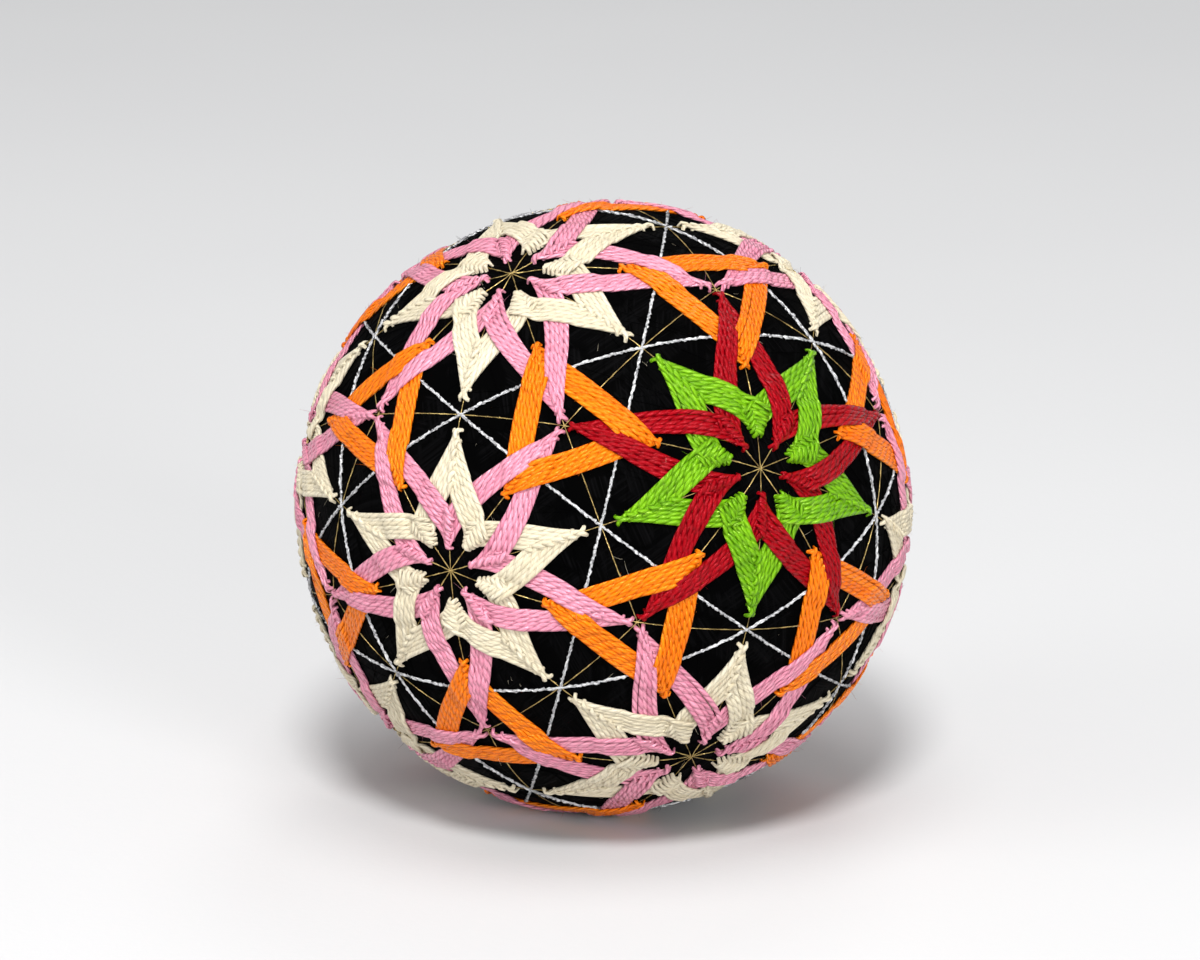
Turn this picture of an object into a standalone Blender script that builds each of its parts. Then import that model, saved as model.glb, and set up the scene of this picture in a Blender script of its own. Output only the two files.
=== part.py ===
# A stitched thread ball: a round wound core, with petal stars round twelve centres and triangles
# round the twenty points between them as raised bands, pressed flat where it stands.
# Metres, +Z up, origin on the ground under the ball's centre.
import bpy
import bmesh
from math import atan2, pi, radians, sin, sqrt
from mathutils import Euler, Matrix, Vector

# Driving dimensions
overall_diameter = 0.095        # over the stitched bands
band_rise = 0.00070             # how far the highest band stands above the wound surface
band_sink = 0.0012              # how deep a band's solid reaches into the ball
foot_radius = 0.0075            # the flat spot that the ball rests on
core_radius = overall_diameter / 2 - band_rise
centre_height = sqrt(core_radius ** 2 - foot_radius ** 2)
core_subdivisions = 3

# Each band's edges, in degrees from its own centre: on the rays to its tips, on the rays between
# them, and how far the middle of a leg bows outwards. "inner" is the first row stitched.
petal_star = {"rise": 0.00060, "steps": 2,
              "inner": {"tip": 15.9, "between": 7.8, "bow": 0.2},
              "outer": {"tip": 28.8, "between": 13.6, "bow": 0.0}}
triangle = {"rise": band_rise, "steps": 3,
            "inner": {"tip": 9.3, "bow": 0.6},
            "outer": {"tip": 18.2, "bow": 1.1}}

# How the pattern is turned on the ball, and how uneven its hand-made divisions are
pattern_turn = Euler((radians(-97.4), radians(-58.0), radians(68.3)))
pattern_shift = Vector((-0.014, -0.001, 0.045))
pattern_stretch = Matrix(((1.019, 0.026, -0.002),
                          (0.026, 1.041, 0.014),
                          (-0.002, 0.014, 0.940)))


def on_ball(direction):
    """A direction of the even pattern, moved to where it lies on this ball."""
    turned = pattern_turn.to_matrix() @ direction
    return (pattern_stretch @ turned + pattern_shift).normalized()


def pattern_centres():
    """The twelve star centres, the corners of a regular icosahedron."""
    golden = (1 + sqrt(5)) / 2
    corners = []
    for a in (-1, 1):
        for b in (-golden, golden):
            corners += [Vector((0, a, b)), Vector((a, b, 0)), Vector((b, 0, a))]
    return [corner.normalized() for corner in corners]


def around(centre, others):
    """The given directions in order round a centre, counter-clockwise from outside."""
    first = (others[0] - centre * others[0].dot(centre)).normalized()
    side = centre.cross(first)
    return sorted(others, key=lambda other: atan2(other.dot(side), other.dot(first)))


def neighbours(centre, centres):
    """The five star centres next to one."""
    near = [other for other in centres if 0.4 < other.dot(centre) < 0.5]
    return around(centre, near)


def along(start, end, angle):
    """The point this many degrees from start, on the way to end."""
    return start.slerp(end, radians(angle) / start.angle(end))


def leg(start, end, centre, bow, steps):
    """Points from one corner of a band's edge up to the next, bowed away from the centre."""
    outwards = start.cross(end).normalized()
    if outwards.dot(centre) > 0:
        outwards = -outwards
    points = []
    for step in range(steps):
        part = step / steps
        shift = radians(bow) * sin(pi * part)
        points.append((start.slerp(end, part) + outwards * shift).normalized())
    return points


def ring(corners, centre, bow, steps):
    """A closed edge through its corners."""
    points = []
    for here, corner in enumerate(corners):
        following = corners[(here + 1) % len(corners)]
        points += leg(corner, following, centre, bow, steps)
    return points


def star_edge(centre, tip_rays, between_rays, edge, steps):
    corners = []
    for tip_ray, between_ray in zip(tip_rays, between_rays):
        corners.append(along(centre, tip_ray, edge["tip"]))
        corners.append(along(centre, between_ray, edge["between"]))
    return ring(corners, centre, edge["bow"], steps)


def triangle_edge(centre, rays, edge, steps):
    corners = [along(centre, ray, edge["tip"]) for ray in rays]
    return ring(corners, centre, edge["bow"], steps)


def add_band(name, inner, outer, rise, bands):
    """A closed strip with a square section that follows the ball, from one edge to the other."""
    middle = Vector((0, 0, centre_height))
    top, bottom = core_radius + rise, core_radius - band_sink
    shape = bmesh.new()
    sections = []
    for near, far in zip(inner, outer):
        places = (near * top, far * top, far * bottom, near * bottom)
        sections.append([shape.verts.new(middle + place) for place in places])
    for here, section in enumerate(sections):
        following = sections[(here + 1) % len(sections)]
        for side in range(4):
            other = (side + 1) % 4
            shape.faces.new((section[side], following[side], following[other], section[other]))
    bmesh.ops.recalc_face_normals(shape, faces=shape.faces)
    bmesh.ops.triangulate(shape, faces=shape.faces)
    mesh = bpy.data.meshes.new(name)
    shape.to_mesh(mesh)
    shape.free()
    band = bpy.data.objects.new(name, mesh)
    band.hide_render = True
    band.display_type = "WIRE"
    bands.objects.link(band)


def add_bands(bands):
    """A petal star round each of the twelve centres and a triangle round each of the twenty."""
    centres = pattern_centres()
    threes = set()
    for number, centre in enumerate(centres):
        ring_of_five = neighbours(centre, centres)
        halfway = [on_ball(centre + other) for other in ring_of_five]
        thirds = []
        for here, other in enumerate(ring_of_five):
            following = ring_of_five[(here + 1) % 5]
            thirds.append(on_ball(centre + other + following))
            threes.add(frozenset(centres.index(corner) for corner in (centre, other, following)))
        middle = on_ball(centre)
        edges = [star_edge(middle, halfway, thirds, petal_star[edge], petal_star["steps"])
                 for edge in ("inner", "outer")]
        add_band(f"petal_star_{number}", *edges, petal_star["rise"], bands)
    for number, three in enumerate(sorted(sorted(three) for three in threes)):
        corners = [centres[index] for index in three]
        middle = corners[0] + corners[1] + corners[2]
        rays = [on_ball(corner) for corner in around(middle.normalized(), corners)]
        edges = [triangle_edge(on_ball(middle), rays, triangle[edge], triangle["steps"])
                 for edge in ("inner", "outer")]
        add_band(f"triangle_{number}", *edges, triangle["rise"], bands)


def add_core():
    """The wound ball itself."""
    shape = bmesh.new()
    bmesh.ops.create_icosphere(shape, subdivisions=core_subdivisions, radius=core_radius)
    bmesh.ops.translate(shape, verts=shape.verts, vec=(0, 0, centre_height))
    mesh = bpy.data.meshes.new("wound_ball")
    shape.to_mesh(mesh)
    shape.free()
    ball = bpy.data.objects.new("wound_ball", mesh)
    bpy.context.scene.collection.objects.link(ball)
    return ball


def add_ground(cutters):
    """A block whose top is the ground, which presses the foot flat."""
    depth = 0.01
    shape = bmesh.new()
    bmesh.ops.create_cube(shape, size=1)
    bmesh.ops.scale(shape, verts=shape.verts, vec=(overall_diameter, overall_diameter, depth))
    bmesh.ops.translate(shape, verts=shape.verts, vec=(0, 0, -depth / 2))
    mesh = bpy.data.meshes.new("ground")
    shape.to_mesh(mesh)
    shape.free()
    ground = bpy.data.objects.new("ground", mesh)
    ground.hide_render = True
    ground.display_type = "WIRE"
    cutters.objects.link(ground)
    return ground


def dark_thread():
    material = bpy.data.materials.new("black wound thread")
    material.use_nodes = True
    surface = material.node_tree.nodes["Principled BSDF"]
    surface.inputs["Base Color"].default_value = (0.006, 0.006, 0.007, 1)
    surface.inputs["Roughness"].default_value = 0.8
    surface.inputs["Metallic"].default_value = 0
    return material


def add_boolean(ball, name, operation):
    cut = ball.modifiers.new(name, "BOOLEAN")
    cut.operation = operation
    cut.solver = "EXACT"
    return cut


def build():
    for item in list(bpy.data.objects):
        bpy.data.objects.remove(item)
    bands = bpy.data.collections.new("bands")
    cutters = bpy.data.collections.new("cutters")
    for collection in (bands, cutters):
        bpy.context.scene.collection.children.link(collection)
    ball = add_core()
    ball.data.materials.append(dark_thread())
    add_bands(bands)
    stitching = add_boolean(ball, "stitched bands", "UNION")
    stitching.operand_type = "COLLECTION"
    stitching.collection = bands
    flat = add_boolean(ball, "flat foot", "DIFFERENCE")
    flat.object = add_ground(cutters)


build()
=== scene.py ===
from math import atan2, ceil, cos, pi, radians, sin, sqrt

import bmesh
import bpy
import numpy as np
from mathutils import Euler, Matrix, Vector


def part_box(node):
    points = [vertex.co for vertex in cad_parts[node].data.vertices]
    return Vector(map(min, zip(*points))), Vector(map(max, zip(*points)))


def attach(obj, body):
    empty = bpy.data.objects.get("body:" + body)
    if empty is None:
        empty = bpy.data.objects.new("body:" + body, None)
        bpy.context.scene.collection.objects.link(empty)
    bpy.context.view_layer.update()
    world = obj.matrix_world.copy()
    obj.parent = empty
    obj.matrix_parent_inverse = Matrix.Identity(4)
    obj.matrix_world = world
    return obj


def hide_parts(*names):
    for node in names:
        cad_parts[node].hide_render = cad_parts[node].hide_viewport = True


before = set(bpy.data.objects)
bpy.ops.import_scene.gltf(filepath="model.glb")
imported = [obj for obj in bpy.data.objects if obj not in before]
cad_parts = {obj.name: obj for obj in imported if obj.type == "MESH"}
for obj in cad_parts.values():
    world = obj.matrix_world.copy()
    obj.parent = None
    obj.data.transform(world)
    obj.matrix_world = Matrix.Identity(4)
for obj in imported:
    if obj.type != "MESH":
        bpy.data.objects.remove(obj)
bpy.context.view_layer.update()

print("frame loaded")

mm = 0.001      # lengths are metres and angles are degrees, unless a note says otherwise

# the round that the threads lie on, and how the pattern sits on it: the even pattern is turned, and then
# stretched and shifted as on a ball of radius 1
ball = {
    "bandRise": 0.7 * mm,      # how far the stitched bands of the plain solid stand proud
    "footRadius": 7.5 * mm,
    "turn": (-97.4, -58.0, 68.3),
    "shift": (-0.014, -0.001, 0.045),
    "stretch": ((1.019, 0.026, -0.002), (0.026, 1.041, 0.014), (-0.002, 0.014, 0.940)),
    "seed": 12,
}
lowCorner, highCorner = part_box("wound_ball")
coreRadius = max(highCorner[0] - lowCorner[0], highCorner[1] - lowCorner[1]) / 2 - ball["bandRise"]
ballCentre = np.array([0, 0, lowCorner[2] + sqrt(coreRadius ** 2 - ball["footRadius"] ** 2)])
turnMatrix = np.array(Euler([radians(angle) for angle in ball["turn"]]).to_matrix())
perDegree = coreRadius * radians(1)      # how far one degree is on the surface

# the ball is pressed flat where it is this near the ground, and keeps a small gap below it
foot = {"gap": 0.02 * mm, "depth": 0.8 * mm}


def pressFoot(heights):
    # heights above the ground, squeezed near it so that every layer keeps its order
    near = np.exp(np.minimum(heights / foot["depth"] - 1, 0))
    squeezed = foot["gap"] + (foot["depth"] - foot["gap"]) * near
    return np.where(heights < foot["depth"], squeezed, heights)


def unit(vectors):
    vectors = np.asarray(vectors, float)
    return vectors / np.linalg.norm(vectors, axis=-1, keepdims=True)


def onBall(directions):
    # from the even pattern to where its hand-set divisions really lie
    turned = np.asarray(directions) @ turnMatrix.T
    return unit(turned @ np.array(ball["stretch"]).T + np.array(ball["shift"]))


def place(directions, heights):
    # heights are above the wound surface
    return ballCentre + onBall(directions) * (coreRadius + np.asarray(heights))[..., None]


def patternPoints():
    # the twelve star centres, and which of them are next to each other in threes and in pairs
    golden = (1 + sqrt(5)) / 2
    corners = []
    for a in (-1, 1):
        for b in (-golden, golden):
            corners += [(0, a, b), (a, b, 0), (b, 0, a)]
    fives = unit(corners)
    near = fives @ fives.T > 0.4      # neighbours are 63 degrees apart, the rest 116 or more
    threes, halves = [], []
    for i in range(12):
        for j in range(i + 1, 12):
            if not near[i, j]:
                continue
            halves.append((i, j))
            threes += [(i, j, k) for k in range(j + 1, 12) if near[i, k] and near[j, k]]
    return fives, threes, halves


def frameAt(pole, towards):
    # columns are the two directions on the ground and the pole, so flat maps can be laid there
    side = unit(towards - pole * (pole @ towards))
    return np.stack([side, np.cross(pole, side), pole], axis=1)


def layFlatMap(flat):
    # a flat map, measured in degrees from its centre, bent onto a sphere with its centre at the pole
    reach = np.radians(np.linalg.norm(flat, axis=1))
    turn = np.arctan2(flat[:, 1], flat[:, 0])
    return np.stack([np.sin(reach) * np.cos(turn), np.sin(reach) * np.sin(turn), np.cos(reach)], axis=1)


def heading(angle):
    return np.array([cos(radians(angle)), sin(radians(angle))])


def ease(value):
    value = np.clip(value, 0, 1)
    return value * value * (3 - 2 * value)


def drift(random, count, knots, size):
    # a slow wander along a thread
    values = random.normal(0, size, knots)
    return np.interp(np.linspace(0, 1, count), np.linspace(0, 1, knots), values)


fives, threes, halves = patternPoints()
threeReach = np.degrees(np.arccos(fives[threes[0][0]] @ unit(fives[list(threes[0])].sum(0))))

# the three kinds of motif, on flat maps round their poles, with all reaches in degrees; a corner is "out"
# from the pole, and its legs meet its ray at "angle" and run on past it by "tail"; "lifts" are what they are
# raised by where they leave and where they arrive, and fall off within "rise"
petal = {
    "rows": 6, "width": 0.91 * mm, "thick": 0.58 * mm, "lie": 0.25 * mm, "halfBand": 2.1 * mm,
    "push": 0.12, "fuzz": 70,
    "tip": {
        "out": 17.1, "step": 2.13, "closing": 1, "angle": 24, "angleStep": 0, "pull": 1,
        "tail": 1.5, "tailStep": 0, "bend": 22,
        "lifts": (0.34 * mm, 0.06 * mm), "liftStep": 0.02 * mm, "rise": 1.2,
    },
    "inner": {
        "out": 6.9, "step": 1.18, "closing": 1, "angle": 42, "angleStep": 1.0, "pull": 1,
        "tail": 1.25, "tailStep": 0.52, "bend": 6,
        "lifts": (0.60 * mm, 0.34 * mm), "liftStep": 0.02 * mm, "rise": 1.9,
    },
}
wheel = {
    "rows": 5, "width": 0.90 * mm, "thick": 0.56 * mm, "lie": 0.25 * mm, "halfBand": (1.7 * mm, 1.8 * mm),
    "push": -0.25, "pack": 0.12, "fuzz": 60,
    "tip": {
        "out": 27.5, "step": 2.18, "closing": 0.9, "angle": 14.8, "angleStep": 2.0, "pull": 1,
        "tail": 1.7, "tailStep": 0, "bend": 11,
        "lifts": (0.30 * mm, 0.06 * mm), "liftStep": 0.05 * mm, "rise": 2.6,
    },
    "inner": {
        "out": 5.4, "step": 1.95, "closing": 0.9, "angle": 27, "angleStep": 0.8, "pull": 0.75,
        "tail": 1.1, "tailStep": 0.28, "bend": 8,
        "lifts": (0.58 * mm, 0.32 * mm), "liftStep": 0.02 * mm, "rise": 1.8,
    },
}
trio = {
    "rows": 6, "width": 0.85 * mm, "thick": 0.56 * mm, "lie": 0.25 * mm, "halfBand": 2.0 * mm, "fuzz": 25,
    "tip": {
        "out": 10.2, "step": 1.40, "closing": 1, "angle": 36, "angleStep": 0, "pull": 1,
        "tail": 1.15, "tailStep": 0, "bend": 30,
        "lifts": (0.34 * mm, 0.06 * mm), "liftStep": 0.03 * mm, "rise": 1.2,
    },
}
stitching = {
    "step": 0.85, "sides": 6,                # how finely a thread is divided, in degrees along it
    "dive": 0.55, "depth": 0.25 * mm,        # within how many degrees, and how deep, its ends go in
    "overLift": 0.50 * mm, "overStart": 1.0 * mm, "overRamp": 1.3 * mm, "clear": 0.8,
    "slip": 0.035 * mm, "wander": 0.05 * mm, "bob": 0.03 * mm, "uneven": 0.05,
    "spool": 4000,                           # each thread's twist starts somewhere in this many mm
}
tailShares = (0.3, 0.6, 0.8, 1)      # where the points of a tail lie along it
middleRow = 2.5                      # between the third and the fourth row, counted from 0


def legEnd(corner, ray, way, row, arriving):
    # one end of a leg of this row, at a corner on its ray, where the leg heads in or out
    inwards = way == "in"
    angle = corner["angle"] + corner["angleStep"] * row
    return {
        "at": (corner["out"] + corner["step"] * row ** corner["closing"]) * heading(ray),
        "turn": ray + 180 - angle if inwards else ray + angle,
        "bend": -corner["bend"] if inwards else corner["bend"],
        "tail": corner["tail"] + corner["tailStep"] * row,
        "pull": corner["pull"],
        "lift": corner["lifts"][arriving] + corner["liftStep"] * row,
        "rise": corner["rise"],
    }


def legBetween(corners, rays, ways, row, push):
    start, end = (legEnd(corners[k], rays[k], ways[k], row, k) for k in range(2))
    return {"start": start, "end": end, "push": push}


def petalLegs(row):
    # from a tip in to the corner after it, and out to the next tip
    push = petal["push"] * (row - middleRow)
    return (legBetween((petal["tip"], petal["inner"]), (0, 36), ("in", "in"), row, push),
            legBetween((petal["inner"], petal["tip"]), (36, 72), ("out", "out"), row, push))


def wheelLegs(row):
    # from an inner corner out to the long tip after it, and in to the next inner corner
    push = wheel["push"] + wheel["pack"] * (row - wheel["rows"] // 2)
    return (legBetween((wheel["inner"], wheel["tip"]), (0, 36), ("out", "out"), row, push),
            legBetween((wheel["tip"], wheel["inner"]), (36, 72), ("in", "in"), row, push))


def trioLegs(row):
    # from one corner of the triangle to the next
    return (legBetween((trio["tip"], trio["tip"]), (0, 120), ("in", "out"), row, 0),)


def legPath(leg, step):
    # the flat course of a leg, past its corners, with the distance from the first corner and its length
    start, end = leg["start"], leg["end"]
    span = np.linalg.norm(end["at"] - start["at"])
    count = max(6, ceil(span / step))
    part = np.linspace(0, 1, count + 1)[:, None]
    leaving = heading(start["turn"]) * span * start["pull"]
    arriving = heading(end["turn"]) * span * end["pull"]
    middle = ((2 * part ** 3 - 3 * part ** 2 + 1) * start["at"]
              + (part ** 3 - 2 * part ** 2 + part) * leaving
              + (3 * part ** 2 - 2 * part ** 3) * end["at"]
              + (part ** 3 - part ** 2) * arriving)
    east, north = end["at"] - start["at"]
    middle = middle + heading(np.degrees(atan2(north, east)) + 90) * leg["push"] * np.sin(pi * part)
    before = [start["at"] - heading(start["turn"] + start["bend"] * share) * start["tail"] * share
              for share in tailShares[::-1]]
    after = [end["at"] + heading(end["turn"] + end["bend"] * share) * end["tail"] * share
             for share in tailShares]
    course = np.concatenate([before, middle, after])
    steps = np.linalg.norm(np.diff(course, axis=0), axis=1)
    run = np.concatenate([[0], np.cumsum(steps)]) - steps[:len(tailShares)].sum()
    return course, run, run[-1] - end["tail"]


def legHeights(leg, run, length, lie):
    # lying on the ball, lifted over what is stitched at its corners, and diving in at its ends
    start, end = leg["start"], leg["end"]
    height = (lie + start["lift"] * ease(1 - run / start["rise"])
              + end["lift"] * ease(1 - (length - run) / end["rise"]))
    for gone, tail in ((run + start["tail"], start["tail"]), (length + end["tail"] - run, end["tail"])):
        into = ease(1 - gone / min(stitching["dive"], tail))
        height = height * (1 - into) - stitching["depth"] * into
    return height


def overBand(directions, under, halfBand):
    # how far a leg is raised where it goes over another band
    gap = np.degrees(np.linalg.norm(directions[:, None] - under[None], axis=2).min(axis=1)) * perDegree
    return stitching["overLift"] * ease((halfBand + stitching["overStart"] - gap) / stitching["overRamp"])


def centreLine(leg):
    # the middle of a band, without the tails past its corners
    course = legPath(leg, 0.5)[0]
    return layFlatMap(course[len(tailShares):-len(tailShares)])


def stitchedLeg(leg, kind, crossings):
    course, run, length = legPath(leg, stitching["step"])
    directions = layFlatMap(course)
    heights = legHeights(leg, run, length, kind["lie"])
    inside = ease(run / stitching["clear"]) * ease((length - run) / stitching["clear"])
    for under, halfBand in crossings:
        raised = kind["lie"] + overBand(directions, under, halfBand) * inside
        heights = np.where(inside > 0, np.maximum(heights, raised), heights)
    return directions, heights


def motifRows(kind, legsOf, crossings, turns):
    # every leg of every row of one motif, round the pole of its own flat map
    strands = []
    for row in range(kind["rows"]):
        legs = [stitchedLeg(leg, kind, over) for leg, over in zip(legsOf(row), crossings)]
        for turn in turns:
            spin = np.array(Matrix.Rotation(radians(turn), 3, "Z"))
            strands += [(directions @ spin.T, heights, row) for directions, heights in legs]
    return strands


def planMotifs():
    # a wheel's leg goes out over the petal's leg coming in, and the petal's leg goes out over the wheel's
    # leg coming in; triangles go over a wheel's leg going out, and its leg coming in goes over the triangles
    petalIn = centreLine(petalLegs(middleRow)[0])
    wheelOut, wheelIn = (centreLine(leg) for leg in wheelLegs(middleRow))
    threePole = layFlatMap(np.array([threeReach * heading(36)]))[0]
    threeAxes = frameAt(threePole, np.array([0, 0, 1.0]))
    thirdTurn = np.array(Matrix.Rotation(radians(240), 3, "Z"))
    trioArriving = centreLine(trioLegs(middleRow)[0]) @ (threeAxes @ thirdTurn).T
    overPetal, overTrio = (petalIn, petal["halfBand"]), (trioArriving, trio["halfBand"])
    overWheelOut = (wheelOut @ threeAxes, wheel["halfBand"][0])
    overWheelIn = (wheelIn, wheel["halfBand"][1])
    fifths, thirds = range(0, 360, 72), range(0, 360, 120)
    petals = motifRows(petal, petalLegs, ([], [overWheelIn]), fifths)
    wheels = motifRows(wheel, wheelLegs, ([overPetal], [overTrio]), fifths)
    trios = motifRows(trio, trioLegs, ([overWheelOut],), thirds)
    return petals, wheels, trios


petalRows, wheelRows, trioRows = planMotifs()
print("rows planned", len(petalRows), len(wheelRows), len(trioRows))


def threadMesh(name, strands, sides, material):
    # a strand is (points, outward directions, half width, half thickness, start of its twist in mm, closed)
    points, faces, maps = [], [], []
    first = 0
    turns = np.arange(sides) / sides
    ring = 2 * pi * turns - pi / 2
    for course, outwards, halfWidth, halfThick, begin, closed in strands:
        count = len(course)
        if closed:
            along = unit(np.roll(course, -1, axis=0) - np.roll(course, 1, axis=0))
        else:
            along = unit(np.gradient(course, axis=0))
        side = unit(np.cross(outwards, along))
        top = np.cross(along, side)
        widths = np.broadcast_to(halfWidth, count)[:, None, None]
        thicks = np.broadcast_to(halfThick, count)[:, None, None]
        body = (course[:, None] + side[:, None] * np.cos(ring)[None, :, None] * widths
                + top[:, None] * np.sin(ring)[None, :, None] * thicks)
        points.append(body.reshape(-1, 3))
        loops = count if closed else count - 1
        here = np.arange(loops)[:, None]
        following = (here + 1) % count
        edge = np.arange(sides)[None]
        nextEdge = (edge + 1) % sides
        quads = np.stack([here * sides + edge, here * sides + nextEdge,
                          following * sides + nextEdge, following * sides + edge], axis=-1)
        faces.append(quads.reshape(-1, 4) + first)
        first += count * sides
        gone = np.concatenate([[0], np.cumsum(np.linalg.norm(np.diff(course, axis=0), axis=1))]) / mm
        gone = np.append(gone, gone[-1] + np.linalg.norm(course[0] - course[-1]) / mm) + begin
        u0, u1 = gone[:loops], gone[1:loops + 1]
        v0, v1 = edge[0] / sides, (edge[0] + 1) / sides
        one = np.ones((loops, sides))
        corners = [np.stack([u[:, None] * one, v[None] * one], axis=-1) for u, v in
                   ((u0, v0), (u0, v1), (u1, v1), (u1, v0))]
        maps.append(np.stack(corners, axis=2).reshape(-1, 2))
    points = np.concatenate(points)
    points[:, 2] = pressFoot(points[:, 2])
    mesh = bpy.data.meshes.new(name)
    mesh.from_pydata(points.tolist(), [], np.concatenate(faces).tolist())
    threadUV = mesh.uv_layers.new(name="threadUV")
    threadUV.data.foreach_set("uv", np.concatenate(maps).astype(np.float32).ravel())
    mesh.polygons.foreach_set("use_smooth", np.ones(len(mesh.polygons), bool))
    mesh.materials.append(material)
    mesh.update()
    piece = bpy.data.objects.new(name, mesh)
    bpy.context.scene.collection.objects.link(piece)
    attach(piece, "root")
    return piece


# short loose fibres; "clear" counts the points of a thread that have none at its ends
fuzz = {
    "width": 0.045 * mm, "length": (0.3 * mm, 1.3 * mm), "taper": (1, 1, 0.8, 0.4), "clear": 4,
    "aside": 0.30 * mm, "above": 0.08 * mm, "lean": (0.1, 0.9), "stray": 0.8, "curl": 0.5,
    "onBlack": 900, "dust": 130, "rounds": 60, "roundStep": 6, "roundHeight": 0.05 * mm,
}


def growFuzz(strands, count, random):
    # fibres that stand off the sides of the threads
    hairs = []
    half = fuzz["width"] / 2 * np.array(fuzz["taper"])
    for _ in range(count):
        course, outwards = strands[random.integers(len(strands))][:2]
        spot = random.integers(fuzz["clear"], len(course) - fuzz["clear"])
        along = unit(course[spot + 1] - course[spot - 1])
        side = np.cross(outwards[spot], along) * random.choice((-1, 1))
        start = course[spot] + side * fuzz["aside"] + outwards[spot] * fuzz["above"]
        lean = random.uniform(*fuzz["lean"])
        way = outwards[spot] * lean + side * (1 - lean) + along * random.normal(0, fuzz["stray"])
        reach = random.uniform(*fuzz["length"])
        part = np.linspace(0, 1, len(half))[:, None]
        hair = start + way * reach * part + random.normal(0, fuzz["curl"], 3) * reach * part ** 2
        hairs.append((hair, np.repeat(outwards[spot][None], len(half), axis=0), half, half, 0.0, False))
    return hairs


def stitchMotif(name, kind, rows, axes, material, random):
    strands = []
    slips = random.normal(0, stitching["slip"], kind["rows"]) / coreRadius      # whole rows lie a little off
    for directions, heights, row in rows:
        count = len(directions)
        wander = slips[row] + drift(random, count, 5, stitching["wander"]) / coreRadius
        fromEnd = np.minimum(np.arange(count), np.arange(count)[::-1])
        wander = wander * (0.6 + 0.4 * ease(fromEnd / 5))      # the stitches hold its ends in place
        aside = unit(np.cross(directions, np.gradient(directions, axis=0)))
        moved = unit(directions + aside * wander[:, None]) @ axes.T
        lifted = heights + drift(random, count, 6, stitching["bob"])
        full = (1 + drift(random, count, 7, stitching["uneven"])) * (0.7 + 0.3 * ease(fromEnd / 4))
        strands.append((place(moved, lifted), onBall(moved), kind["width"] / 2 * full,
                        kind["thick"] / 2 * full, random.uniform(0, stitching["spool"]), False))
    piece = threadMesh(name, strands, stitching["sides"], material)
    return growFuzz(strands, kind["fuzz"], random)


def newGroup(name, inputs, outputs):
    group = bpy.data.node_groups.new(name, "ShaderNodeTree")
    for label, kind, value in inputs:
        socket = group.interface.new_socket(name=label, in_out="INPUT", socket_type=kind)
        socket.default_value = value
    for label, kind in outputs:
        group.interface.new_socket(name=label, in_out="OUTPUT", socket_type=kind)
    return group, group.nodes.new("NodeGroupInput"), group.nodes.new("NodeGroupOutput")


def feed(tree, socket, value):
    # a number or a colour is set on the socket, anything else is linked to it
    if isinstance(value, (int, float)):
        socket.default_value = value
    elif isinstance(value, tuple):
        socket.default_value = (*value, 1)
    else:
        tree.links.new(value, socket)


def addMath(tree, operation, *values):
    node = tree.nodes.new("ShaderNodeMath")
    node.operation = operation
    for socket, value in zip(node.inputs, values):
        feed(tree, socket, value)
    return node.outputs[0]


def addNoise(tree, vector, scale, detail):
    node = tree.nodes.new("ShaderNodeTexNoise")
    node.inputs["Scale"].default_value = scale
    node.inputs["Detail"].default_value = detail
    tree.links.new(vector, node.inputs["Vector"])
    return node.outputs["Fac"]


def addVector(tree, *values):
    node = tree.nodes.new("ShaderNodeCombineXYZ")
    for socket, value in zip(node.inputs, values):
        feed(tree, socket, value)
    return node.outputs[0]


def addRange(tree, value, low, high, toLow=0.0, toHigh=1.0):
    node = tree.nodes.new("ShaderNodeMapRange")
    for label, number in (("From Min", low), ("From Max", high), ("To Min", toLow), ("To Max", toHigh)):
        node.inputs[label].default_value = number
    tree.links.new(value, node.inputs["Value"])
    return node.outputs["Result"]


def addMix(tree, factor, first, second):
    node = tree.nodes.new("ShaderNodeMix")
    node.data_type = "RGBA"
    for socket, value in ((node.inputs[0], factor), (node.inputs[6], first), (node.inputs[7], second)):
        feed(tree, socket, value)
    return node.outputs[2]


def addBump(tree, height, strength, distance):
    node = tree.nodes.new("ShaderNodeBump")
    node.inputs["Strength"].default_value = strength
    node.inputs["Distance"].default_value = distance
    tree.links.new(height, node.inputs["Height"])
    return node.outputs[0]


def newMaterial(name):
    material = bpy.data.materials.new(name)
    material.use_nodes = True
    return material, material.node_tree, material.node_tree.nodes["Principled BSDF"]


# how two twisted plies show on a thread: round ridges, a mask for the painted shade in the hollows between
# them, deepest down the sides where rows meet, fine fibres along each ply, and a slow change of tone
twist = {
    "plies": 2.0, "ridgeRound": 0.85, "grooveWide": 0.75, "grooveSharp": 1.4,
    "topStart": 0.03, "topEnd": 0.20, "topGroove": 0.30,
    "fibreAlong": 0.25, "fibreAcross": 7.0, "fibreDetail": 2.0, "slowAlong": 0.045, "tone": (0.35, 0.65),
}


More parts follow.
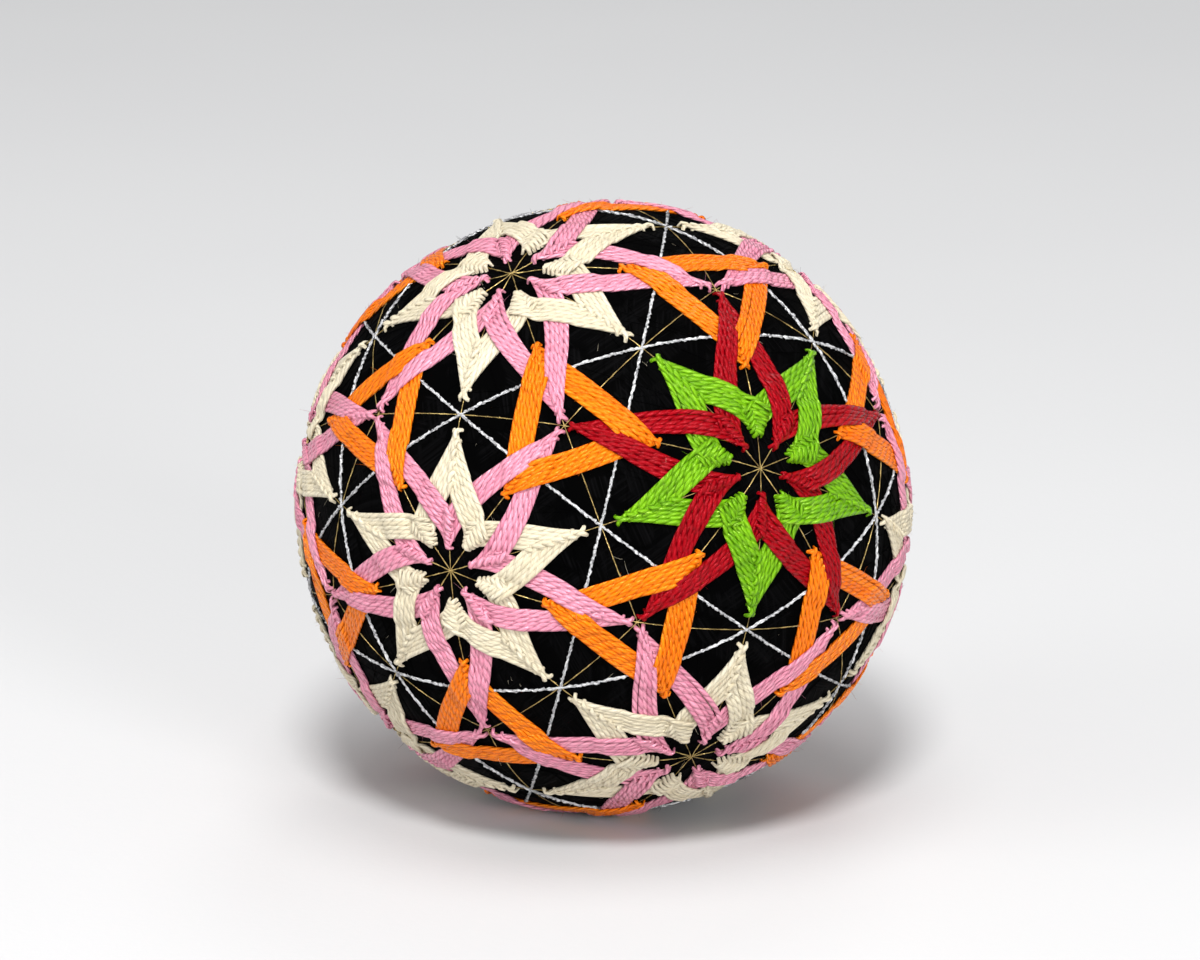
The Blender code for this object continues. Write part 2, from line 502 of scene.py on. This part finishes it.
def makePlyGroup():
    # along the thread in mm, and once round it from 0 to 1
    group, given, out = newGroup(
        "twistedPly",
        [("Ridge Length", "NodeSocketFloat", 1.75), ("Fibre", "NodeSocketFloat", 0.4)],
        [("Height", "NodeSocketFloat"), ("Groove Shade", "NodeSocketFloat"), ("Shade", "NodeSocketFloat"),
         ("Fibre", "NodeSocketFloat")])
    uvMap = group.nodes.new("ShaderNodeUVMap")
    uvMap.uv_map = "threadUV"
    split = group.nodes.new("ShaderNodeSeparateXYZ")
    group.links.new(uvMap.outputs[0], split.inputs[0])
    along, around = split.outputs[0], split.outputs[1]

    turns = addMath(group, "ADD", addMath(group, "DIVIDE", along, given.outputs["Ridge Length"]),
                    addMath(group, "MULTIPLY", around, twist["plies"]))
    wave = addMath(group, "ABSOLUTE", addMath(group, "COSINE", addMath(group, "MULTIPLY", turns, pi)))
    strands = addNoise(group, addVector(group, addMath(group, "MULTIPLY", along, twist["fibreAlong"]),
                                        addMath(group, "MULTIPLY", turns, twist["fibreAcross"])),
                       1.0, twist["fibreDetail"])
    fibre = addMath(group, "MULTIPLY", addMath(group, "SUBTRACT", strands, 0.5), given.outputs["Fibre"])
    height = addMath(group, "ADD", addMath(group, "POWER", wave, twist["ridgeRound"]), fibre)

    # painted shade: strongest in the hollows between plies and down the thread's sides, weaker on its top
    offTop = addMath(group, "ABSOLUTE", addMath(group, "SUBTRACT", around, 0.5))
    edge = addRange(group, offTop, twist["topStart"], twist["topEnd"], twist["topGroove"], 1.0)
    low = addRange(group, wave, 0.0, twist["grooveWide"], 1.0, 0.0)
    dip = addMath(group, "POWER", low, twist["grooveSharp"])

    slow = addNoise(group, addVector(group, addMath(group, "MULTIPLY", along, twist["slowAlong"])), 1.0, 1.0)
    streaks = addMath(group, "ADD", addMath(group, "MULTIPLY", slow, 0.5),
                      addMath(group, "MULTIPLY", strands, 0.5))

    group.links.new(height, out.inputs["Height"])
    group.links.new(addMath(group, "MULTIPLY", dip, edge), out.inputs["Groove Shade"])
    group.links.new(addRange(group, streaks, *twist["tone"]), out.inputs["Shade"])
    group.links.new(strands, out.inputs["Fibre"])
    return group


plyGroup = makePlyGroup()


def threadMaterial(name, look):
    # what cotton and foil share: the twist, with its own ridge length and fibres, for roughness and bump
    material, tree, surface = newMaterial(name)
    ply = tree.nodes.new("ShaderNodeGroup")
    ply.node_tree = plyGroup
    ply.inputs["Ridge Length"].default_value = look["ridge"]
    ply.inputs["Fibre"].default_value = look["fibre"]
    rough = addRange(tree, ply.outputs["Fibre"], 0.2, 0.8, *look["rough"])
    relief = addBump(tree, ply.outputs["Height"], look["bump"], look["bumpDepth"])
    tree.links.new(rough, surface.inputs["Roughness"])
    tree.links.new(relief, surface.inputs["Normal"])
    return material, tree, surface, ply


# each colour is this plain shiny cotton, with its own tones and changes; "shadow" is a painted shade for the
# hollows between plies
plainCotton = {
    "rough": (0.14, 0.28), "ridge": 1.75, "fibre": 0.7, "bump": 0.95, "bumpDepth": 0.32 * mm,
    "sheen": 0.0, "sheenRough": 0.45, "gloss": 1.0,
}
cottonLooks = {
    "orange": plainCotton | {
        "deep": (0.80, 0.115, 0.001), "bright": (1.0, 0.245, 0.003), "shadow": (0.36, 0.024, 0.0003),
        "grooveShade": 0.6, "glint": (1.0, 0.66, 0.14), "rough": (0.15, 0.30),
    },
    "pink": plainCotton | {
        "deep": (0.61, 0.175, 0.27), "bright": (0.88, 0.36, 0.47), "shadow": (0.25, 0.050, 0.095),
        "grooveShade": 0.62, "glint": (1.0, 0.80, 0.90), "sheen": 0.03, "gloss": 0.9,
    },
    "cream": plainCotton | {
        "deep": (0.60, 0.51, 0.34), "bright": (0.80, 0.73, 0.56), "shadow": (0.27, 0.20, 0.11),
        "grooveShade": 0.5, "glint": (1.0, 1.0, 0.94), "sheen": 0.12, "gloss": 0.4,
        "rough": (0.45, 0.7), "ridge": 1.7, "fibre": 1.2, "bump": 0.75,
    },
    "green": plainCotton | {
        "deep": (0.060, 0.225, 0.001), "bright": (0.21, 0.50, 0.005), "shadow": (0.014, 0.075, 0.0004),
        "grooveShade": 0.8, "glint": (0.72, 1.0, 0.20),
    },
    "red": plainCotton | {
        "deep": (0.22, 0.0003, 0.002), "bright": (0.38, 0.0012, 0.007), "shadow": (0.05, 0.0001, 0.0005),
        "grooveShade": 0.75, "glint": (1.0, 0.16, 0.20), "gloss": 0.6,
    },
}


def cottonMaterial(name, look):
    material, tree, surface, ply = threadMaterial(name, look)
    tone = addMix(tree, ply.outputs["Shade"], look["deep"], look["bright"])
    # the tone is darkened towards the painted shadow colour in the hollows between plies
    paintedGrooveShade = addMath(tree, "MULTIPLY", ply.outputs["Groove Shade"], look["grooveShade"])
    tree.links.new(addMix(tree, paintedGrooveShade, tone, look["shadow"]), surface.inputs["Base Color"])
    surface.inputs["Sheen Weight"].default_value = look["sheen"]
    surface.inputs["Sheen Roughness"].default_value = look["sheenRough"]
    surface.inputs["Specular IOR Level"].default_value = look["gloss"]
    surface.inputs["Specular Tint"].default_value = (*look["glint"], 1)
    return material


# the bright flecks along the twist are painted glints, where the dark tone gives way to the bright one
silverLook = {
    "dark": (0.26, 0.26, 0.28), "bright": (1.0, 1.0, 1.0), "paintedGlint": (0.42, 0.58), "rough": (0.40, 0.20),
    "ridge": 3.2, "fibre": 1.4, "bump": 0.55, "bumpDepth": 0.15 * mm, "metal": 0.10,
}
goldLook = {
    "dark": (0.11, 0.06, 0.012), "bright": (1.0, 0.74, 0.27), "paintedGlint": (0.42, 0.58), "rough": (0.36, 0.18),
    "ridge": 4.6, "fibre": 0.6, "bump": 0.6, "bumpDepth": 0.15 * mm, "metal": 0.55,
}


def foilMaterial(name, look):
    material, tree, surface, ply = threadMaterial(name, look)
    # painted glints: bright flecks along the twist stand in for the foil's shine
    paintedGlints = addRange(tree, ply.outputs["Fibre"], *look["paintedGlint"])
    tree.links.new(addMix(tree, paintedGlints, look["dark"], look["bright"]), surface.inputs["Base Color"])
    surface.inputs["Metallic"].default_value = look["metal"]
    return material


# patches of fine black thread that lie three ways, as noise that changes far faster across it than along it
blackLook = {
    "ways": ((20, 35), (75, -40), (140, 60)), "lines": (60, 60, 3200), "lineDetail": 1.5,
    "patch": 160, "patchStep": 30, "patchEdge": (0.42, 0.58), "tone": (0.45, 0.75),
    "dark": (0.0002, 0.0002, 0.00025), "bright": (0.0020, 0.0019, 0.0022),
    "rough": (0.85, 0.6), "bump": 0.8, "bumpDepth": 0.20 * mm, "gloss": 0.02,
}


def addMapping(tree, vector, label, values):
    node = tree.nodes.new("ShaderNodeMapping")
    node.inputs[label].default_value = values
    tree.links.new(vector, node.inputs["Vector"])
    return node.outputs[0]


def blackMaterial(name, look):
    material, tree, surface = newMaterial(name)
    onPiece = tree.nodes.new("ShaderNodeTexCoord").outputs["Object"]
    height = None
    for number, (tilt, lean) in enumerate(look["ways"]):
        turned = addMapping(tree, onPiece, "Rotation", (radians(tilt), radians(lean), 0))
        lines = addNoise(tree, addMapping(tree, turned, "Scale", look["lines"]), 1.0, look["lineDetail"])
        patches = addNoise(tree, turned, look["patch"] + look["patchStep"] * number, 0.0)
        layer = addMath(tree, "MULTIPLY", lines, addRange(tree, patches, *look["patchEdge"]))
        height = layer if height is None else addMath(tree, "MAXIMUM", height, layer)
    tone = addMix(tree, addRange(tree, height, *look["tone"]), look["dark"], look["bright"])
    tree.links.new(tone, surface.inputs["Base Color"])
    tree.links.new(addRange(tree, height, 0.3, 0.8, *look["rough"]), surface.inputs["Roughness"])
    tree.links.new(addBump(tree, height, look["bump"], look["bumpDepth"]), surface.inputs["Normal"])
    surface.inputs["Specular IOR Level"].default_value = look["gloss"]
    return material


cotton = {colour: cottonMaterial(colour + "Cotton", look) for colour, look in cottonLooks.items()}
silverFoil = foilMaterial("silverFoil", silverLook)
goldFoil = foilMaterial("goldFoil", goldLook)
blackWinding = blackMaterial("blackWinding", blackLook)
print("materials ready")

core = {"subdivisions": 6}


def makeCore():
    mesh = bpy.data.meshes.new("woundBall")
    shape = bmesh.new()
    bmesh.ops.create_icosphere(shape, subdivisions=core["subdivisions"], radius=coreRadius)
    for vertex in shape.verts:
        vertex.co.z = float(pressFoot(vertex.co.z + ballCentre[2]))
    for face in shape.faces:
        face.smooth = True
    shape.to_mesh(mesh)
    shape.free()
    mesh.materials.append(blackWinding)
    piece = bpy.data.objects.new("woundBall", mesh)
    bpy.context.scene.collection.objects.link(piece)
    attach(piece, "root")
    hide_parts("wound_ball")


# single turns of the sewing thread that stand a little proud; arcs in half turns, heights in mm, and tilt as
# a share of the ball's radius
winding = {
    "count": 150, "width": 0.17 * mm, "flat": 0.8, "arc": (0.5, 1.6), "perHalfTurn": 55, "tilt": 0.02,
    "heights": (-0.02, 0.05), "sides": 4, "spool": 900, "seed": 3,
}


def makeWindings():
    random = np.random.default_rng(winding["seed"])
    half = winding["width"] / 2
    strands = []
    for _ in range(winding["count"]):
        pole = unit(random.normal(size=3))
        axes = frameAt(pole, unit(random.normal(size=3)))
        arc = random.uniform(*winding["arc"])
        turn = np.linspace(0, arc * pi, int(arc * winding["perHalfTurn"]))
        tilt = drift(random, len(turn), 5, winding["tilt"])
        directions = unit(np.stack([np.cos(turn), np.sin(turn), tilt], axis=1)) @ axes.T
        course = ballCentre + directions * (coreRadius + random.uniform(*winding["heights"]) * mm)
        begin = random.uniform(0, winding["spool"])
        strands.append((course, directions, half, half * winding["flat"], begin, False))
    piece = threadMesh("windingTurns", strands, winding["sides"], blackWinding)


makeCore()
makeWindings()
print("ball wound")


def greatCircle(pole, step):
    axes = frameAt(pole, unit(np.array([0.3, 0.5, 0.8])))
    turn = np.radians(np.arange(0, 360, step))
    return np.stack([np.cos(turn), np.sin(turn), 0 * turn], axis=1) @ axes.T


def onePerLine(poles):
    # a pole and its opposite give the same round, so one of them is kept
    return [pole for pole in poles if tuple(np.round(pole, 6)) > (0, 0, 0)]


def turnedAlong(course, outwards, turn):
    # the outward directions of a closed thread, turned round its own length
    along = unit(np.roll(course, -1, axis=0) - course)
    return outwards * np.cos(turn)[:, None] + np.cross(along, outwards) * np.sin(turn)[:, None]


def fromNearest(directions, others):
    return np.degrees(np.arccos(np.clip((directions @ others.T).max(axis=1), -1, 1)))


# one flat foil thread that turns once in "twist" mm and piles up at the star centres; wander is a share of
# the ball's radius
gold = {
    "width": 0.19 * mm, "thick": 0.13 * mm, "step": 0.8, "twist": 5.2, "lie": 0.09 * mm,
    "pile": 0.30 * mm, "pileReach": 1.6, "wander": 0.00022, "bob": 0.02 * mm, "spool": 300.0, "seed": 8,
}


def makeGold():
    # fifteen rounds, each through four star centres
    random = np.random.default_rng(gold["seed"])
    poles = onePerLine(unit([fives[i] + fives[j] for i, j in halves]))
    strands = []
    for number, pole in enumerate(poles):
        directions = greatCircle(pole, gold["step"])
        count = len(directions)
        wander = drift(random, count, 60, gold["wander"])
        wander[-1] = wander[0]
        directions = unit(directions + pole * wander[:, None])
        atStar = ease(1 - fromNearest(directions, fives) / gold["pileReach"])
        pile = gold["pile"] * (number / len(poles)) * atStar
        heights = gold["lie"] + pile + np.abs(drift(random, count, 90, gold["bob"]))
        turn = np.arange(count) * gold["step"] * perDegree / mm / gold["twist"] * 2 * pi
        course = place(directions, heights)
        strands.append((course, turnedAlong(course, onBall(directions), turn), gold["width"] / 2,
                        gold["thick"] / 2, gold["spool"] * number, True))
    piece = threadMesh("goldMarking", strands, 4, goldFoil)


# two ragged foil strips twisted together, once in "twist" mm, faster and slower in turn
silver = {
    "width": 0.50 * mm, "thick": 0.12 * mm, "apart": 0.10 * mm, "twist": 3.4, "step": 0.42, "lie": 0.21 * mm,
    "swells": 37, "swell": 0.15, "unevenTurn": 0.25, "unevenApart": (0.7, 1.3), "ragged": (0.6, 1.15),
    "spool": 300.0, "nextFoil": 17, "seed": 9,
}


def makeSilver():
    # six rounds, each square to a line through two star centres
    random = np.random.default_rng(silver["seed"])
    strands = []
    for number, pole in enumerate(onePerLine(fives)):
        directions = greatCircle(pole, silver["step"])
        count = len(directions)
        part = np.arange(count) / count
        turns = round((count - 1) * silver["step"] * perDegree / mm / silver["twist"])
        twisted = 2 * pi * (turns * part + silver["swell"] * np.sin(2 * pi * silver["swells"] * part))
        for foil in range(2):
            turn = twisted + pi * foil + random.normal(0, silver["unevenTurn"], count)
            apart = silver["apart"] * random.uniform(*silver["unevenApart"], count)
            aside = unit(directions + pole * (apart * np.cos(turn) / coreRadius)[:, None])
            course = place(aside, silver["lie"] + apart * np.sin(turn))
            leaning = turnedAlong(course, onBall(aside), turn + pi / 2 * foil)
            full = random.uniform(*silver["ragged"], count)
            strands.append((course, leaning, silver["width"] / 2 * full, silver["thick"] / 2,
                            silver["spool"] * number + silver["nextFoil"] * foil, True))
    piece = threadMesh("silverMarking", strands, 4, silverFoil)


makeGold()
makeSilver()
print("marking threads laid")


def addFuzz(name, hairs, material):
    piece = threadMesh(name, hairs, 3, material)


def makeMotifs():
    # one star has a green petal and a red wheel, the other eleven are cream and pink
    random = np.random.default_rng(ball["seed"])
    loose = {colour: [] for colour in cotton}

    def stitch(name, kind, rows, axes, colour):
        loose[colour] += stitchMotif(name, kind, rows, axes, cotton[colour], random)

    for number, pole in enumerate(fives):
        neighbour = next(fives[b if a == number else a] for a, b in halves if number in (a, b))
        axes = frameAt(pole, neighbour)
        petalColour, wheelColour = ("green", "red") if number == 0 else ("cream", "pink")
        stitch(f"petalStar_{number:02d}", petal, petalRows, axes, petalColour)
        stitch(f"wheelStar_{number:02d}", wheel, wheelRows, axes, wheelColour)
    for number, corners in enumerate(threes):
        pole = unit(fives[list(corners)].sum(0))
        stitch(f"trio_{number:02d}", trio, trioRows, frameAt(pole, fives[corners[0]]), "orange")
    for colour, hairs in loose.items():
        addFuzz(colour + "Fuzz", hairs, cotton[colour])


def makeLooseFibres():
    # short black ends of the winding, and a little pale dust caught on them
    random = np.random.default_rng(ball["seed"] + 1)
    ground = []
    for _ in range(fuzz["rounds"]):
        arc = greatCircle(unit(random.normal(size=3)), fuzz["roundStep"])
        ground.append((ballCentre + arc * (coreRadius + fuzz["roundHeight"]), arc))
    addFuzz("blackFuzz", growFuzz(ground, fuzz["onBlack"], random), blackWinding)
    addFuzz("paleDust", growFuzz(ground, fuzz["dust"], random), cotton["cream"])


makeMotifs()
makeLooseFibres()
print("stars and triangles stitched")

# a plain pale floor, in finer squares where the ball stands
sheet = {
    "reach": 4.0, "marks": 41, "cloud": 6, "tones": ((0.57, 0.57, 0.575), (0.60, 0.60, 0.60)),
    "grain": 900, "bump": 0.15, "bumpDepth": 0.2 * mm, "rough": 0.9, "gloss": 0.2,
}


def makeFloor():
    count = sheet["marks"]
    even = np.linspace(-1, 1, count)
    marks = sheet["reach"] * np.sign(even) * even ** 2
    points = [(x, y, 0.0) for y in marks for x in marks]
    corners = [k + row * count for row in range(count - 1) for k in range(count - 1)]
    mesh = bpy.data.meshes.new("paleFloor")
    mesh.from_pydata(points, [], [(k, k + 1, k + count + 1, k + count) for k in corners])
    material, tree, surface = newMaterial("paleFloor")
    onPiece = tree.nodes.new("ShaderNodeTexCoord").outputs["Object"]
    tone = addMix(tree, addNoise(tree, onPiece, sheet["cloud"], 2), *sheet["tones"])
    tree.links.new(tone, surface.inputs["Base Color"])
    grain = addNoise(tree, onPiece, sheet["grain"], 2)
    tree.links.new(addBump(tree, grain, sheet["bump"], sheet["bumpDepth"]), surface.inputs["Normal"])
    surface.inputs["Roughness"].default_value = sheet["rough"]
    surface.inputs["Specular IOR Level"].default_value = sheet["gloss"]
    mesh.materials.append(material)
    floor = bpy.data.objects.new("paleFloor", mesh)
    bpy.context.scene.collection.objects.link(floor)


# round soft lamps, all turned to the ball, in a dim pale room
lamps = {
    "topLamp": {"at": (0.0, -0.12, 1.3), "size": 0.7, "power": 5.5},
    "keyLamp": {"at": (-0.06, -1.20, 1.62), "size": 0.45, "power": 32.5},
    "leftLamp": {"at": (-0.9, -0.35, 0.35), "size": 0.5, "power": 3.2},
    "rightLamp": {"at": (0.75, -1.25, 0.40), "size": 0.5, "power": 13.0},
    "backLamp": {"at": (0.3, 1.15, 1.35), "size": 0.6, "power": 4.0},
}
room = {"colour": (0.97, 0.98, 1.0), "sky": 0.35}


def makeLight():
    for name, given in lamps.items():
        lamp = bpy.data.lights.new(name, "AREA")
        lamp.shape = "DISK"
        lamp.size = given["size"]
        lamp.energy = given["power"]
        item = bpy.data.objects.new(name, lamp)
        item.location = given["at"]
        item.rotation_euler = (Vector(ballCentre) - Vector(given["at"])).to_track_quat("-Z", "Y").to_euler()
        bpy.context.scene.collection.objects.link(item)
    world = bpy.data.worlds.new("paleRoom")
    world.use_nodes = True
    sky = world.node_tree.nodes["Background"]
    sky.inputs["Color"].default_value = (*room["colour"], 1)
    sky.inputs["Strength"].default_value = room["sky"]
    bpy.context.scene.world = world
    bpy.context.scene.view_settings.view_transform = "Standard"


view = {"elevation": 15, "distance": 0.955, "lens": 185, "sensor": 36, "aimLeft": 0.0005, "aimUp": 0.0043}


def makeCamera():
    lift = radians(view["elevation"])
    right = Vector((1, 0, 0))
    up = Vector((0, sin(lift), cos(lift)))
    back = Vector((0, -cos(lift), sin(lift)))
    data = bpy.data.cameras.new("camera")
    data.lens = view["lens"]
    data.sensor_width = view["sensor"]
    data.clip_start = 0.01
    data.clip_end = 20
    camera = bpy.data.objects.new("camera", data)
    stand = Vector(ballCentre) + back * view["distance"] - right * view["aimLeft"] + up * view["aimUp"]
    camera.matrix_world = Matrix.Translation(stand) @ Matrix((right, up, back)).transposed().to_4x4()
    bpy.context.scene.collection.objects.link(camera)
    bpy.context.scene.camera = camera


makeFloor()
makeLight()
makeCamera()
print("studio set")
